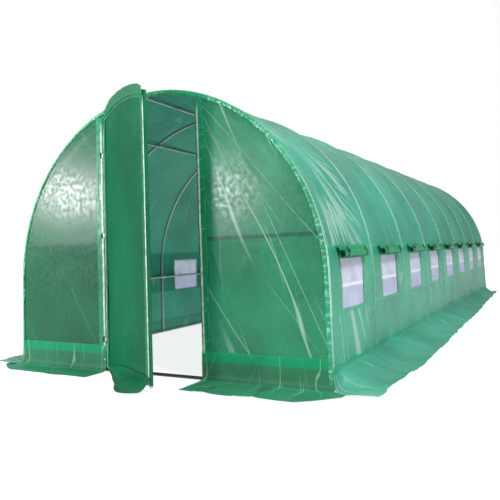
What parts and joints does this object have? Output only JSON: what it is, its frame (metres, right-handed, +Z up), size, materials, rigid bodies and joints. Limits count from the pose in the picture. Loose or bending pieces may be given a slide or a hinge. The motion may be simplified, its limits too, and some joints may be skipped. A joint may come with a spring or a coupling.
{
  "type": "polytunnel greenhouse",
  "caption": "Walk-in polytunnel with tube hoops under a translucent green cover, screened side windows with rolled flaps, and a hinged arched door in one end.",
  "frame": {"origin": "ground level at the middle of the 3.0 m by 8.0 m footprint", "axes": "+X across to the right when facing the door end from outside, +Y along the tunnel from the door end to the rear end, +Z up"},
  "size_m": [3.64, 8.8626, 2.2563],
  "materials": {
    "tube": "galvanised",
    "dark_tube": "satin",
    "strap": "zinc plated",
    "clip": "matte",
    "roof_sheet": "woven and coated, translucent",
    "end_sheet": "woven and coated, translucent",
    "binding": "woven and coated",
    "screen": "fine insect mesh"
  },
  "bodies": {
    "tunnel": {"hoop_1": "tube", "hoop_2": "tube", "hoop_3": "tube", "hoop_4": "tube", "hoop_5": "tube", "hoop_6": "tube", "hoop_7": "tube", "hoop_8": "tube", "hoop_9": "tube", "ridge_purlin": "tube", "roof_purlin_left": "tube", "roof_purlin_right": "tube", "side_purlin_left": "tube", "side_purlin_right": "tube", "ground_rail_left": "tube", "ground_rail_right": "tube", "purlin_clamps": "clip", "door_post_left": "tube", "door_post_right": "tube", "front_bar_left": "tube", "front_bar_right": "tube", "front_sill": "dark_tube", "rear_posts": "tube", "rear_bars": "tube", "rear_sill": "dark_tube", "roof_cover_left_low": "roof_sheet", "roof_cover_left_high": "roof_sheet", "roof_cover_right_high": "roof_sheet", "roof_cover_right_low": "roof_sheet", "side_wall_left": "roof_sheet", "side_wall_right": "roof_sheet", "side_skirt_left": "roof_sheet", "side_skirt_right": "roof_sheet", "front_cover_left": "end_sheet", "front_cover_right": "end_sheet", "front_skirts": "end_sheet", "front_welt": "binding", "rear_cover": "end_sheet", "rear_skirt": "end_sheet", "rear_welt": "binding", "window_screens_left": "screen", "window_screens_right": "screen", "window_rolls_left": "binding", "window_rolls_right": "binding"},
    "door": {"door_frame": "tube", "door_cover": "end_sheet", "door_flap": "end_sheet", "door_hinges": "strap"}
  },
  "joints": [
    {"name": "door_hinge", "type": "hinge", "parent": "tunnel", "child": "door", "pos_m": [-0.49, -3.9852, 0], "axis": [0, 0, -1], "range_deg": [-28, 92]}
  ]
}
